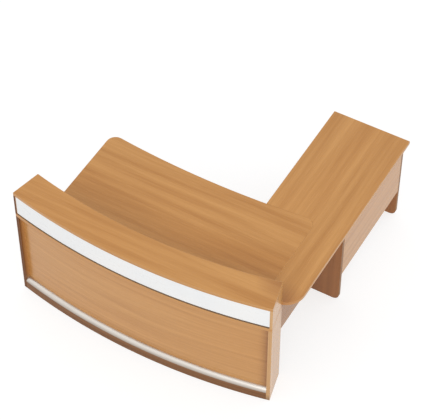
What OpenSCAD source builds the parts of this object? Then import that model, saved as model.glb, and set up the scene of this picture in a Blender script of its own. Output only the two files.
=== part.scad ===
// Checkout counter: a bowed front box with a raised ledge, a desk-height worktop and a side return.
// X runs to the right as a customer sees it, Y from the front to the back, Z up from the floor.
// The origin is the middle of the footprint's bounding rectangle, on the floor.

/* [Overall] */
// Width across the front corners of the end panels
counter_w = 1880; // [1560:10:2300]
// Height of the upper face of the worktop and the return
worktop_h = 750; // [620:5:900]
// Height of the ledge's upper face above the worktop
ledge_h = 200; // [150:5:300]
// Radius of the bowed front
front_radius = 4250; // [3200:50:9000]
// Thickness of the tops, end panels, gable and legs
board = 25; // [20:1:30]
// Thickness of the edge bands
band_t = 2; // [0.8:0.2:3]

/* [Front box] */
// Depth of the end panels and of the ledge, along the radius
box_depth = 220; // [170:5:280]
// Set-back of the front panel behind the end panels' front edges
front_set_back = 32; // [15:1:35]
// Thickness of the bowed front panel
front_panel_t = 18; // [12:1:22]
// Height of the base rail
base_h = 70; // [40:2:120]
// Wall of the hollow quarter-round moulding
moulding_t = 2; // [1:0.5:4]
// Thickness of the uprights behind the front panel
upright_t = 18; // [16:1:25]
// Distance of each upright and each ledge divider from the middle
upright_x = 310; // [220:10:420]
// Side of the square battens in the front corners
batten = 25; // [20:1:32]

/* [Ledge] */
// Thickness of the ledge's side boards and dividers
ledge_side_t = 18; // [15:1:22]
// Thickness of the white fascia
fascia_t = 10; // [8:1:14]
// Set-back of the fascia behind the ledge top's front edge
fascia_set_back = 2; // [0.5:0.5:8]
// Height of the shadow gap under the fascia
shadow_gap = 15; // [6:1:25]
// Thickness of the boards that back the fascia
backing_t = 12; // [9:1:18]
// Set-back of the dividers' rear edges from the back of the ledge
divider_set_back = 12; // [5:1:40]

/* [Worktop] */
// Depth of the worktop from the middle of the front to the middle of its rear edge
worktop_depth = 967; // [800:1:1100]
// Set-in of the worktop's side edges behind the front box from the front corners
worktop_set_in = 170; // [140:1:260]
// Radius of the slack arc along the rear edge
rear_radius = 6400; // [4000:100:12000]
// Radius of the worktop's rear corners
worktop_corner_r = 65; // [30:1:120]
// Clear gap between the front box's back and the gable
gable_gap = 30; // [10:1:80]
// Set-back of the gable's rear edge from the middle of the worktop's rear edge
gable_set_back = 60; // [30:5:200]

/* [Return] */
// Width of the return
return_w = 565; // [480:5:680]
// How far the return reaches to the right of the right front corner
return_overhang = 44; // [20:1:70]
// Distance from the middle of the worktop's rear edge to the return's far end
return_tail = 970; // [700:5:1400]
// Radius of the return's near corner
return_corner_r = 140; // [60:1:150]
// Clear joint between the worktop and the return, and between the lengths of the fascia's backing
joint_gap = 0.5; // [0.3:0.1:1.5]
// Gap between the worktop's rear corner and the near leg's front face
near_leg_gap = 44; // [10:1:120]
// Set-back of the legs' and the gable's edges under the tops
leg_inset = 37; // [10:1:60]
// Radius of the legs' lower corners
leg_corner_r = 45; // [15:1:60]
// Thickness of the modesty and apron panels
modesty_t = 18; // [16:1:22]
// Height of the modesty panel
modesty_h = 475; // [250:5:550]
// Height of the apron panel
apron_h = 260; // [150:5:400]

/* [Fittings] */
// Length of each leg of an angle bracket
bracket_leg = 40; // [34:1:55]
// Width of an angle bracket
bracket_w = 25; // [18:1:30]
// Thickness of an angle bracket
bracket_t = 2.5; // [1.5:0.5:3]
// Length of a tie plate across the flush joint
tie_l = 100; // [80:5:130]
// Width of a tie plate
tie_w = 40; // [30:1:60]
// Thickness of a tie plate
tie_t = 3; // [2:0.5:4]
// Shank diameter of the wood screws
screw_d = 4.5; // [3.5:0.5:5]
// Shank length of the wood screws
screw_l = 16; // [13:1:17]
// Head diameter of the wood screws
screw_head_d = 8.5; // [7:0.5:10]
// Head height of the wood screws
screw_head_h = 2.5; // [1.5:0.5:3.5]
// Depth of the batten screws in the panel behind the batten
batten_screw_bite = 10; // [8:1:11]
// Diameter of the wooden dowels
dowel_d = 8; // [6:1:9]
// Length of the wooden dowels
dowel_l = 36; // [30:1:40]
// Depth of a dowel in the face that it is set into
dowel_bite = 12; // [8:1:15]

/* [Levelling feet] */
// Wood left on each side of a foot's recess
pad_wall = 3; // [2:0.5:4]
// Height of a foot's pad
pad_h = 6; // [4:1:8]
// Diameter of a foot's stud
stud_d = 8; // [6:1:9]
// Travel of a foot as it is wound out
foot_travel = 12; // [8:1:14]
// Clearance around and under a foot that is wound right in
foot_clear = 0.5; // [0.3:0.1:1]
// Wall of a foot's threaded insert
insert_wall = 1.5; // [1:0.5:2]
// Height of a foot's threaded insert
insert_h = 15; // [12:1:18]

/* [Hidden] */
$fn = 64;
// Facets on a full turn of the long radii
bow_fn = 1440;
// Spare length of a cutting shape past the face that it cuts
cut = 1;

wood = "#c0925e";
wood_dark = "#5f3f28";
band_wood = "#b08352";
white = "#eef0f4";
silver = "#c8c6c4";
steel = "#b4b6ba";
beech = "#d9b98a";
zinc = "#9a9ca0";

// Half the angle that the bowed front spans, and the height of the worktop's underside
half_angle = asin(counter_w / 2 / front_radius);
under_h = worktop_h - board;
// Heights of the ledge's upper face, of its underside and of the fascia's lower edge
counter_h = worktop_h + ledge_h;
ledge_under_h = counter_h - board;
fascia_z = worktop_h + shadow_gap;
// Depths, along the radius, of the front panel's back and of the fascia backing's two faces
front_back_d = front_set_back + front_panel_t;
backing_d = fascia_set_back + fascia_t;
backing_back_d = backing_d + backing_t;
upright_angle = asin(upright_x / front_radius);
// Length that reaches across the whole counter from either end, and some to spare in front of the bow
bow_reach = 2 * counter_w;
bow_spare = 50;

half_w = counter_w / 2 - worktop_set_in;
rear_centre_y = worktop_depth + rear_radius;
corner_x = half_w - worktop_corner_r;
corner_y = rear_centre_y - sqrt(pow(rear_radius + worktop_corner_r, 2) - pow(corner_x, 2));

return_r = counter_w / 2 + return_overhang;
return_l = return_r - return_w;
return_end = worktop_depth + return_tail;
leg_l = return_l + leg_inset;
leg_r = return_r - leg_inset;
near_leg_y = round(corner_y + worktop_corner_r) + near_leg_gap;
far_leg_y = return_end - board;
leg_span = far_leg_y - near_leg_y - board;
modesty_bottom = under_h - modesty_h;
apron_bottom = under_h - apron_h;
// Outer rear corner of the right end panel, where the return's rounded corner starts
box_corner = on_bow(half_angle, 0, box_depth);
bend_x = return_r - return_corner_r;
bend_y = box_corner.y + sqrt(pow(return_corner_r, 2) - pow(max(0, box_corner.x - bend_x), 2));
// The apron's middle plane crosses the middle of the slanted dowels in its near end
apron_x = on_bow(half_angle, -board / 2, box_depth + (dowel_l - dowel_bite) / 2).x - modesty_t / 2;
modesty_x = leg_r - modesty_t;

gable_x = -half_w + leg_inset;
gable_front_y = front_radius - sqrt(pow(front_radius - box_depth, 2) - pow(gable_x, 2)) + gable_gap;
gable_rear_y = worktop_depth - gable_set_back;

// The footprint's middle becomes the origin
mid_x = return_overhang / 2;
mid_y = return_end / 2;

// Shares of a panel's height, depth or length at which dowels, screws and brackets sit
dowel_shares = [0.2, 0.5, 0.8];
pair_shares = [0.3, 0.7];
batten_shares = [0.1, 0.5, 0.9];
// Shares of a bracket's leg, and of a tie plate's length and width, at which its screws sit
bracket_hole_shares = [0.45, 0.8];
tie_hole_x = 0.35;
tie_hole_y = 0.25;

// Tie plates lie evenly along the flush joint between the ledge and the worktop's rear corner
tie_count = 3;
tie_from = box_corner.y + tie_w;
tie_step = (corner_y - tie_w - tie_from) / tie_count;
tie_y = [for (i = [0 : tie_count - 1]) tie_from + (i + 0.5) * tie_step];

// Places of angle brackets: angle on the bow, face, depth and the turn that points away from the face
bracket_gap = 10;
bracket_edge = 80;
box_bracket_d = [front_back_d + batten + bracket_w + bracket_gap, box_depth - bracket_w - bracket_gap];
left_end_brackets = [for (d = box_bracket_d) [-half_angle, board, d, -90]];
right_end_brackets = [for (d = box_bracket_d) [half_angle, -board, d, 90]];
left_upright_brackets = [for (d = box_bracket_d) [-upright_angle, upright_t / 2, d, -90]];
right_upright_brackets = [for (d = box_bracket_d) [upright_angle, -upright_t / 2, d, 90]];
gable_brackets = [for (y = [gable_front_y + bracket_edge, gable_rear_y - bracket_edge])
    [0, gable_x + board, y, -90]];
leg_bracket_x = [leg_l + bracket_edge, modesty_x - bracket_edge];
near_leg_brackets = [for (x = leg_bracket_x) [0, x, near_leg_y + board, 0]];
far_leg_brackets = [for (x = leg_bracket_x) [0, x, far_leg_y, 180]];
modesty_brackets = [for (share = pair_shares) [0, modesty_x, near_leg_y + board + share * leg_span, 90]];
apron_brackets = [for (i = [1 : tie_count - 1]) [0, apron_x, tie_from + i * tie_step, 90]];
worktop_brackets = concat(left_end_brackets, right_end_brackets, left_upright_brackets,
    right_upright_brackets, gable_brackets);
return_brackets = concat(near_leg_brackets, far_leg_brackets, modesty_brackets, apron_brackets);

divider_l = box_depth - backing_back_d - divider_set_back;
ledge_dowel_d = [for (share = pair_shares) backing_back_d + share * divider_l];
batten_screw_l = batten + batten_screw_bite;
fascia_screw_l = backing_t + fascia_t / 2;
fascia_screw_count = 8;
fascia_screw_step = 2 * half_angle / fascia_screw_count;

// Levelling feet: name, angle on the bow, place along the front and depth
foot_edge = 80;
foot_front_d = front_back_d + batten;
foot_rear_d = box_depth - foot_edge / 2;
FEET = [
    ["left_end_front_foot", -half_angle, board / 2, foot_front_d],
    ["left_end_rear_foot", -half_angle, board / 2, foot_rear_d],
    ["right_end_front_foot", half_angle, -board / 2, foot_front_d],
    ["right_end_rear_foot", half_angle, -board / 2, foot_rear_d],
    ["gable_front_foot", 0, gable_x + board / 2, gable_front_y + foot_edge],
    ["gable_rear_foot", 0, gable_x + board / 2, gable_rear_y - foot_edge],
    ["near_leg_left_foot", 0, leg_l + foot_edge, near_leg_y + board / 2],
    ["near_leg_right_foot", 0, leg_r - foot_edge, near_leg_y + board / 2],
    ["far_leg_left_foot", 0, leg_l + foot_edge, far_leg_y + board / 2],
    ["far_leg_right_foot", 0, leg_r - foot_edge, far_leg_y + board / 2]
];
left_end_feet = [0, 1];
right_end_feet = [2, 3];
gable_feet = [4, 5];
near_leg_feet = [6, 7];
far_leg_feet = [8, 9];
// Sizes of a foot's pad, stud, insert, recess and bore, with stud and bore to spare
stud_spare = 11;
bore_spare = 2;
pad_d = board - 2 * pad_wall - 2 * foot_clear;
stud_l = insert_h + foot_travel + stud_spare;
bore_d = stud_d + 2 * foot_clear;
insert_d = bore_d + 2 * insert_wall;
recess_h = foot_clear + pad_h + foot_clear;

// A point given by its angle on the bow, its distance along the front and its depth along the radius
function on_bow(a, x, d) = [
    (front_radius - d) * sin(a) + x * cos(a),
    front_radius - (front_radius - d) * cos(a) + x * sin(a)
];

// Moves the drawing so that the footprint's middle is the origin
module centred() {
    translate([-mid_x, -mid_y, 0])
        children();
}

// Turns a shape that is drawn at the middle of the front to another angle on the bow
module at_angle(a) {
    translate([0, front_radius, 0])
        rotate([0, 0, a])
        translate([0, -front_radius, 0])
        children();
}

// Solid disc whose edge is the bow at one depth
module bow_disc(d, h) {
    translate([0, front_radius, 0])
        cylinder(r = front_radius - d, h = h, $fn = bow_fn);
}

// All that lies inside one end plane, which is moved inwards by trim
module inside_end(side, trim, h) {
    at_angle(side * half_angle)
        translate([side > 0 ? -bow_reach : trim, -bow_spare, 0])
        cube([bow_reach - trim, bow_reach, h]);
}

// All that lies between the two end planes
module end_wedge(trim, h) {
    intersection() {
        inside_end(-1, trim, h);
        inside_end(1, trim, h);
    }
}

// Bowed board between two depths, from end plane to end plane
module bowed(near_d, far_d, trim, z, h) {
    translate([0, 0, z])
        intersection() {
            difference() {
                bow_disc(near_d, h);
                translate([0, 0, -cut])
                    bow_disc(far_d, h + 2 * cut);
            }
            end_wedge(trim, h);
        }
}

// Worktop's outline, moved inwards by inset, or outwards where it is negative
module worktop_shape(inset, h) {
    arc_r = rear_radius + inset;
    tangent_x = corner_x * arc_r / (rear_radius + worktop_corner_r);
    tangent_y = rear_centre_y - sqrt(pow(arc_r, 2) - pow(tangent_x, 2));
    bowed(inset, box_depth - inset, inset, 0, h);
    intersection() {
        bow_disc(box_depth / 2, h);
        union() {
            translate([-half_w + inset, 0, 0])
                cube([2 * half_w - 2 * inset, corner_y, h]);
            difference() {
                translate([-tangent_x, 0, 0])
                    cube([2 * tangent_x, tangent_y + cut, h]);
                translate([0, rear_centre_y, -cut])
                    cylinder(r = arc_r, h = h + 2 * cut, $fn = bow_fn);
            }
            for (side = [-1, 1])
                translate([side * corner_x, corner_y, 0])
                    cylinder(r = worktop_corner_r - inset, h = h);
        }
    }
}

// Return's outline, moved inwards by inset, with the worktop's outline cut out of it
module return_shape(inset, h) {
    left = return_l + inset;
    difference() {
        intersection() {
            bow_disc(box_depth / 2, h);
            union() {
                translate([left, bend_y, 0])
                    cube([return_r - inset - left, return_end - inset - bend_y, h]);
                translate([left, 0, 0])
                    cube([box_corner.x - inset - left, bend_y + cut, h]);
                translate([left, bend_y - return_corner_r + inset, 0])
                    cube([bend_x - left, return_corner_r, h]);
                translate([bend_x, bend_y, 0])
                    cylinder(r = return_corner_r - inset, h = h);
            }
        }
        translate([0, 0, -cut])
            worktop_shape(-joint_gap - inset, h + 2 * cut);
    }
}

// Upright board along X with rounded lower corners, its side edges moved inwards by inset
module leg_shape(l, r, h, inset) {
    translate([l + leg_corner_r, 0, 0])
        cube([r - l - 2 * leg_corner_r, board, h]);
    translate([l + inset, 0, leg_corner_r])
        cube([r - l - 2 * inset, board, h - leg_corner_r]);
    for (x = [l + leg_corner_r, r - leg_corner_r])
        translate([x, 0, leg_corner_r])
            rotate([-90, 0, 0])
            cylinder(r = leg_corner_r - inset, h = board);
}

// Pan-head screw that is driven along +Z, its head's seat at z = 0
module screw(length) {
    cylinder(d = screw_d, h = length);
    translate([0, 0, -screw_head_h])
        cylinder(d = screw_head_d, h = screw_head_h);
}

// Dowel along +Z that stands in a face at z = 0
module dowel() {
    translate([0, 0, -dowel_bite])
        cylinder(d = dowel_d, h = dowel_l);
}

// Puts a shape at each bracket place, with the face at y = 0 and the top's underside at z = 0
module each_bracket(places) {
    for (p = places)
        at_angle(p[0])
            translate([p[1], p[2], under_h])
            rotate([0, 0, p[3]])
            children();
}

// The four screws of one bracket: two up into the top, two into the face
module bracket_screw_set() {
    for (share = bracket_hole_shares) {
        translate([0, share * bracket_leg, -bracket_t])
            screw(screw_l);
        translate([0, bracket_t, -share * bracket_leg])
            rotate([90, 0, 0])
            screw(screw_l);
    }
}

module bracket_screws_at(places) {
    each_bracket(places)
        bracket_screw_set();
}

// Puts a shape at each tie plate, with the tops' underside at z = 0
module each_tie() {
    for (y = tie_y)
        translate([half_w + joint_gap / 2, y, under_h])
            children();
}

module tie_screw_set() {
    for (x = [-tie_hole_x, tie_hole_x], y = [-tie_hole_y, tie_hole_y])
        translate([x * tie_l, y * tie_w, -tie_t])
            screw(screw_l);
}

module tie_screws() {
    each_tie()
        tie_screw_set();
}

// Screws through one corner batten, into the front panel and into the end panel beside it
module batten_screws_at(side) {
    for (share = batten_shares) {
        z = base_h + share * (under_h - base_h);
        at_angle(side * half_angle) {
            translate([-side * (board + batten / 2), front_back_d + batten, z])
                rotate([90, 0, 0])
                screw(batten_screw_l);
            translate([-side * (board + batten), front_back_d + batten / 2, z + batten])
                rotate([0, side * 90, 0])
                screw(batten_screw_l);
        }
    }
}

// Screws through the backing board into the fascia, their heads half sunk into the board
module fascia_screws_all() {
    seat_d = backing_back_d - screw_head_h / 2;
    for (i = [0 : fascia_screw_count - 1], share = pair_shares)
        at_angle((i + 0.5) * fascia_screw_step - half_angle)
            translate([0, seat_d, fascia_z + share * (ledge_under_h - fascia_z)])
            rotate([90, 0, 0])
            screw(fascia_screw_l);
}

// Dowels from the end panel on one side into the base rail
module base_dowels(side) {
    for (share = pair_shares)
        at_angle(side * half_angle)
            translate([-side * board, front_back_d / 2, share * base_h])
            rotate([0, -side * 90, 0])
            dowel();
}

// Dowels at the foot and the head of one upright ledge board
module ledge_dowels(a, x) {
    for (d = ledge_dowel_d)
        at_angle(a)
            translate([x, d, 0]) {
                translate([0, 0, worktop_h])
                    dowel();
                translate([0, 0, ledge_under_h])
                    rotate([180, 0, 0])
                    dowel();
            }
}

// Dowels from the near leg's rear face or the far leg's front face into the modesty panel
module modesty_dowels() {
    for (share = dowel_shares)
        translate([modesty_x + modesty_t / 2, 0, modesty_bottom + share * modesty_h]) {
            translate([0, near_leg_y + board, 0])
                rotate([-90, 0, 0])
                dowel();
            translate([0, far_leg_y, 0])
                rotate([90, 0, 0])
                dowel();
        }
}

// Dowels from the near leg's front face and from the right end panel's rear edge into the apron panel
module apron_dowels() {
    for (share = pair_shares) {
        z = apron_bottom + share * apron_h;
        translate([apron_x + modesty_t / 2, near_leg_y, z])
            rotate([90, 0, 0])
            dowel();
        at_angle(half_angle)
            translate([-board / 2, box_depth, z])
            rotate([-90, 0, 0])
            dowel();
    }
}

// Puts a shape at the listed feet, at the floor
module each_foot(list) {
    for (i = list)
        at_angle(FEET[i][1])
            translate([FEET[i][2], FEET[i][3], 0])
            children();
}

// Bore of one foot in a panel's lower edge: recess for the pad, seat of the insert, room for the stud
module foot_bore() {
    translate([0, 0, -cut])
        cylinder(d = pad_d + 2 * foot_clear, h = cut + recess_h);
    cylinder(d = insert_d, h = recess_h + insert_h);
    cylinder(d = bore_d, h = foot_clear + pad_h + stud_l + bore_spare);
}

// End panel on one side, its front and rear edges moved inwards by inset
module end_panel_shape(side, inset) {
    at_angle(side * half_angle)
        translate([side > 0 ? -board : 0, inset, 0])
        cube([board, box_depth - 2 * inset, under_h]);
}

module end_panel_core(side) {
    centred()
        difference() {
            end_panel_shape(side, band_t);
            bracket_screws_at(side > 0 ? right_end_brackets : left_end_brackets);
            batten_screws_at(side);
            base_dowels(side);
            if (side > 0)
                apron_dowels();
            each_foot(side > 0 ? right_end_feet : left_end_feet)
                foot_bore();
        }
}

module end_band(side) {
    centred()
        difference() {
            end_panel_shape(side, 0);
            end_panel_shape(side, band_t);
            if (side > 0)
                apron_dowels();
        }
}

module left_end_panel() {
    color(wood)
        end_panel_core(-1);
}

module right_end_panel() {
    color(wood)
        end_panel_core(1);
}

module left_end_band() {
    color(band_wood)
        end_band(-1);
}

module right_end_band() {
    color(band_wood)
        end_band(1);
}

module base_rail() {
    color(wood_dark)
        centred()
        difference() {
            bowed(0, front_back_d, board, 0, base_h);
            base_dowels(-1);
            base_dowels(1);
        }
}

module front_panel() {
    color(wood)
        centred()
        difference() {
            bowed(front_set_back, front_back_d, board, base_h, under_h - base_h);
            batten_screws_at(-1);
            batten_screws_at(1);
        }
}

// Ring that runs along the bow with a round section, centred where the front panel meets the base rail
module moulding_ring(r) {
    translate([0, front_radius, base_h])
        rotate_extrude($fn = bow_fn)
        translate([front_radius - front_set_back, 0])
        circle(r = r);
}

module kick_moulding() {
    color(silver)
        centred()
        intersection() {
            difference() {
                moulding_ring(front_set_back);
                moulding_ring(front_set_back - moulding_t);
                translate([0, 0, base_h - front_set_back - cut])
                    bow_disc(-cut, front_set_back + cut);
                translate([0, 0, base_h - cut])
                    bow_disc(front_set_back, front_set_back + 2 * cut);
            }
            translate([0, 0, base_h])
                end_wedge(board, front_set_back + cut);
        }
}

// Corner batten between the front panel and one end panel
module corner_batten(side) {
    color(beech)
        centred()
        difference() {
            intersection() {
                at_angle(side * half_angle)
                    translate([side > 0 ? -board - batten : board, front_set_back, base_h])
                    cube([batten, front_panel_t + batten, under_h - base_h]);
                bow_disc(front_back_d, under_h);
            }
            batten_screws_at(side);
        }
}

module left_batten() {
    corner_batten(-1);
}

module right_batten() {
    corner_batten(1);
}

// Upright behind the front panel
module upright(side, brackets) {
    color(wood)
        centred()
        difference() {
            intersection() {
                at_angle(side * upright_angle)
                    translate([-upright_t / 2, front_set_back, 0])
                    cube([upright_t, box_depth - front_set_back, under_h]);
                bow_disc(front_back_d, under_h);
            }
            bracket_screws_at(brackets);
        }
}

module left_upright() {
    upright(-1, left_upright_brackets);
}

module right_upright() {
    upright(1, right_upright_brackets);
}

// Dowels of all four upright ledge boards
module all_ledge_dowels() {
    for (side = [-1, 1]) {
        ledge_dowels(side * half_angle, -side * ledge_side_t / 2);
        ledge_dowels(side * upright_angle, 0);
    }
}

module worktop() {
    color(wood)
        centred()
        difference() {
            translate([0, 0, under_h])
                worktop_shape(band_t, board);
            bracket_screws_at(worktop_brackets);
            tie_screws();
            all_ledge_dowels();
        }
}

module worktop_band() {
    color(band_wood)
        centred()
        translate([0, 0, under_h])
        difference() {
            worktop_shape(0, board);
            translate([0, 0, -cut])
                worktop_shape(band_t, board + 2 * cut);
        }
}

// Side board of the ledge, flush with the end panel under it
module ledge_side(side) {
    color(wood)
        centred()
        difference() {
            at_angle(side * half_angle)
                translate([side > 0 ? -ledge_side_t : 0, 0, worktop_h])
                cube([ledge_side_t, box_depth, ledge_under_h - worktop_h]);
            ledge_dowels(side * half_angle, -side * ledge_side_t / 2);
        }
}

module ledge_left_side() {
    ledge_side(-1);
}

module ledge_right_side() {
    ledge_side(1);
}

// Divider in the ledge, above an upright
module ledge_divider(side) {
    color(wood)
        centred()
        difference() {
            intersection() {
                at_angle(side * upright_angle)
                    translate([-ledge_side_t / 2, 0, worktop_h])
                    cube([ledge_side_t, box_depth - divider_set_back, ledge_under_h - worktop_h]);
                bow_disc(backing_back_d, counter_h);
            }
            ledge_dowels(side * upright_angle, 0);
        }
}

module ledge_left_divider() {
    ledge_divider(-1);
}

module ledge_right_divider() {
    ledge_divider(1);
}

module fascia() {
    color(white)
        centred()
        difference() {
            bowed(fascia_set_back, backing_d, ledge_side_t, fascia_z, ledge_under_h - fascia_z);
            fascia_screws_all();
        }
}

// Board that backs the fascia, in one length and with its screw holes
module backing_blank() {
    difference() {
        bowed(backing_d, backing_back_d, ledge_side_t, worktop_h, ledge_under_h - worktop_h);
        fascia_screws_all();
    }
}

// All that lies on the outer side of one divider's middle plane, which is moved outwards by trim
module outside_divider(side, trim) {
    at_angle(side * upright_angle)
        translate([side > 0 ? trim : -bow_reach - trim, -bow_spare, 0])
        cube([bow_reach, bow_reach, counter_h]);
}

// Length of the backing between one divider and the end of the ledge
module outer_backing(side) {
    color(wood_dark)
        centred()
        intersection() {
            backing_blank();
            outside_divider(side, joint_gap / 2);
        }
}

module fascia_backing_left() {
    outer_backing(-1);
}

module fascia_backing_right() {
    outer_backing(1);
}

module fascia_backing_middle() {
    color(wood_dark)
        centred()
        difference() {
            backing_blank();
            outside_divider(-1, -joint_gap / 2);
            outside_divider(1, -joint_gap / 2);
        }
}

module ledge_top() {
    color(wood)
        centred()
        difference() {
            bowed(band_t, box_depth - band_t, band_t, ledge_under_h, board);
            all_ledge_dowels();
        }
}

module ledge_top_band() {
    color(band_wood)
        centred()
        difference() {
            bowed(0, box_depth, 0, ledge_under_h, board);
            bowed(band_t, box_depth - band_t, band_t, ledge_under_h - cut, board + 2 * cut);
        }
}

// Gable's outline: a leg turned to run along Y
module gable_shape(inset) {
    translate([gable_x + board, 0, 0])
        rotate([0, 0, 90])
        leg_shape(gable_front_y, gable_rear_y, under_h, inset);
}

module left_gable() {
    color(wood)
        centred()
        difference() {
            gable_shape(band_t);
            bracket_screws_at(gable_brackets);
            each_foot(gable_feet)
                foot_bore();
        }
}

module left_gable_band() {
    color(band_wood)
        centred()
        difference() {
            gable_shape(0);
            gable_shape(band_t);
        }
}

module return_top() {
    color(wood)
        centred()
        difference() {
            translate([0, 0, under_h])
                return_shape(band_t, board);
            bracket_screws_at(return_brackets);
            tie_screws();
        }
}

module return_top_band() {
    color(band_wood)
        centred()
        translate([0, 0, under_h])
        difference() {
            return_shape(0, board);
            translate([0, 0, -cut])
                return_shape(band_t, board + 2 * cut);
        }
}

// One leg of the return, with its front face at y
module return_leg(y, brackets, feet) {
    color(wood)
        centred()
        difference() {
            translate([0, y, 0])
                leg_shape(leg_l, leg_r, under_h, band_t);
            bracket_screws_at(brackets);
            modesty_dowels();
            apron_dowels();
            each_foot(feet)
                foot_bore();
        }
}

module return_leg_band(y) {
    color(band_wood)
        centred()
        translate([0, y, 0])
        difference() {
            leg_shape(leg_l, leg_r, under_h, 0);
            leg_shape(leg_l, leg_r, under_h, band_t);
        }
}

module near_leg() {
    return_leg(near_leg_y, near_leg_brackets, near_leg_feet);
}

module near_leg_band() {
    return_leg_band(near_leg_y);
}

module far_leg() {
    return_leg(far_leg_y, far_leg_brackets, far_leg_feet);
}

module far_leg_band() {
    return_leg_band(far_leg_y);
}

// Modesty panel's blank between two heights
module modesty_blank(low, high) {
    translate([modesty_x, near_leg_y + board, low])
        cube([modesty_t, leg_span, high - low]);
}

module modesty_panel() {
    color(wood)
        centred()
        difference() {
            modesty_blank(modesty_bottom + band_t, under_h);
            bracket_screws_at(modesty_brackets);
            modesty_dowels();
        }
}

module modesty_band() {
    color(band_wood)
        centred()
        modesty_blank(modesty_bottom, modesty_bottom + band_t);
}

// Apron panel's blank between two heights, cut to the slant of the right end panel's rear edge
module apron_blank(low, high) {
    difference() {
        translate([apron_x, box_corner.y - board, low])
            cube([modesty_t, near_leg_y - box_corner.y + board, high - low]);
        at_angle(half_angle)
            translate([-2 * board, 0, 0])
            cube([3 * board, box_depth, worktop_h]);
    }
}

module apron_panel() {
    color(wood)
        centred()
        difference() {
            apron_blank(apron_bottom + band_t, under_h);
            bracket_screws_at(apron_brackets);
            apron_dowels();
        }
}

module apron_band() {
    color(band_wood)
        centred()
        apron_blank(apron_bottom, apron_bottom + band_t);
}

// One steel angle bracket, its screw holes cut to the screws
module angle_bracket() {
    difference() {
        translate([-bracket_w / 2, 0, -bracket_leg])
            cube([bracket_w, bracket_leg, bracket_leg]);
        translate([-bracket_w / 2 - cut, bracket_t, -bracket_leg - cut])
            cube([bracket_w + 2 * cut, bracket_leg, bracket_leg + cut - bracket_t]);
        bracket_screw_set();
    }
}

module angle_brackets() {
    color(steel)
        centred()
        each_bracket(concat(worktop_brackets, return_brackets))
        angle_bracket();
}

module bracket_screws() {
    color(zinc)
        centred()
        bracket_screws_at(concat(worktop_brackets, return_brackets));
}

module tie_plates() {
    color(steel)
        centred()
        each_tie()
        difference() {
            translate([-tie_l / 2, -tie_w / 2, -tie_t])
                cube([tie_l, tie_w, tie_t]);
            tie_screw_set();
        }
}

module tie_plate_screws() {
    color(zinc)
        centred()
        tie_screws();
}

module fascia_screws() {
    color(zinc)
        centred()
        fascia_screws_all();
}

module batten_screws() {
    color(zinc)
        centred() {
            batten_screws_at(-1);
            batten_screws_at(1);
        }
}

module dowels() {
    color(beech)
        centred() {
            base_dowels(-1);
            base_dowels(1);
            all_ledge_dowels();
            modesty_dowels();
            apron_dowels();
        }
}

module foot_inserts() {
    color(zinc)
        centred()
        each_foot([0 : len(FEET) - 1])
        translate([0, 0, recess_h])
        difference() {
            cylinder(d = insert_d, h = insert_h);
            translate([0, 0, -cut])
                cylinder(d = bore_d, h = insert_h + 2 * cut);
        }
}

// One levelling foot, wound right in
module levelling_foot(i) {
    color(zinc)
        centred()
        each_foot([i])
        translate([0, 0, foot_clear]) {
            cylinder(d = pad_d, h = pad_h);
            cylinder(d = stud_d, h = pad_h + stud_l);
        }
}

left_end_panel();
right_end_panel();
left_end_band();
right_end_band();
base_rail();
front_panel();
kick_moulding();
left_batten();
right_batten();
left_upright();
right_upright();
worktop();
worktop_band();
ledge_left_side();
ledge_right_side();
ledge_left_divider();
ledge_right_divider();
fascia();
fascia_backing_left();
fascia_backing_middle();
fascia_backing_right();
ledge_top();
ledge_top_band();
left_gable();
left_gable_band();
return_top();
return_top_band();
near_leg();
near_leg_band();
far_leg();
far_leg_band();
modesty_panel();
modesty_band();
apron_panel();
apron_band();
angle_brackets();
bracket_screws();
tie_plates();
tie_plate_screws();
fascia_screws();
batten_screws();
dowels();
foot_inserts();
for (i = [0 : len(FEET) - 1])
    levelling_foot(i);
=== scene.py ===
"""Looks of the checkout counter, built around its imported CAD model.

Lengths are in metres. A piece is drawn with the middle of the bowed front as the origin, +X to the
customer's right, +Y to the clerk's side and +Z up, and is then moved to the CAD model's frame."""

from math import acos, asin, atan2, cos, hypot, pi, radians, sin, sqrt, tan

import bmesh
import bpy
from mathutils import Euler, Matrix, Vector


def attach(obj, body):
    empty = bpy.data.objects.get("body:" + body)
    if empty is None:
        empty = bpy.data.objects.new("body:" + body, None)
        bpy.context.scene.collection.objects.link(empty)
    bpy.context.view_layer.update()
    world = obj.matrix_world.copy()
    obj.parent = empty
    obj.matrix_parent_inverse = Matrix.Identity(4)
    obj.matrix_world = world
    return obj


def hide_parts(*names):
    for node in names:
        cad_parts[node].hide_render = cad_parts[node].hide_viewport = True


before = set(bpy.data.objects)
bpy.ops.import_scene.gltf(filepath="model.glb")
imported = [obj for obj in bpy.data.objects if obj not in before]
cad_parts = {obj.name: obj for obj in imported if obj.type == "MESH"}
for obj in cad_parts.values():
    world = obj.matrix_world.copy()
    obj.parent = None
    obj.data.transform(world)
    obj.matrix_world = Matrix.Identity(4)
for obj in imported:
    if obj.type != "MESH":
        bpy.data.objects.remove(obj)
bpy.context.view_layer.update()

# Driving sizes of the counter
COUNTER_W = 1.880
WORKTOP_H = 0.750
LEDGE_H = 0.200
FRONT_RADIUS = 4.250
BOARD = 0.025
BAND = 0.002
BOX_DEPTH = 0.220
FRONT_SET_BACK = 0.032
FRONT_PANEL_T = 0.018
BASE_H = 0.070
MOULDING_T = 0.002
UPRIGHT_T = 0.018
UPRIGHT_X = 0.310
BATTEN = 0.025
BATTEN_GAP = 0.0002
LEDGE_SIDE_T = 0.018
FASCIA_T = 0.010
FASCIA_SET_BACK = 0.002
SHADOW_GAP = 0.015
BACKING_T = 0.012
DIVIDER_SET_BACK = 0.012
WORKTOP_DEPTH = 0.967
WORKTOP_SET_IN = 0.170
REAR_RADIUS = 6.400
WORKTOP_CORNER_R = 0.065
GABLE_GAP = 0.030
GABLE_SET_BACK = 0.060
RETURN_W = 0.565
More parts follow.
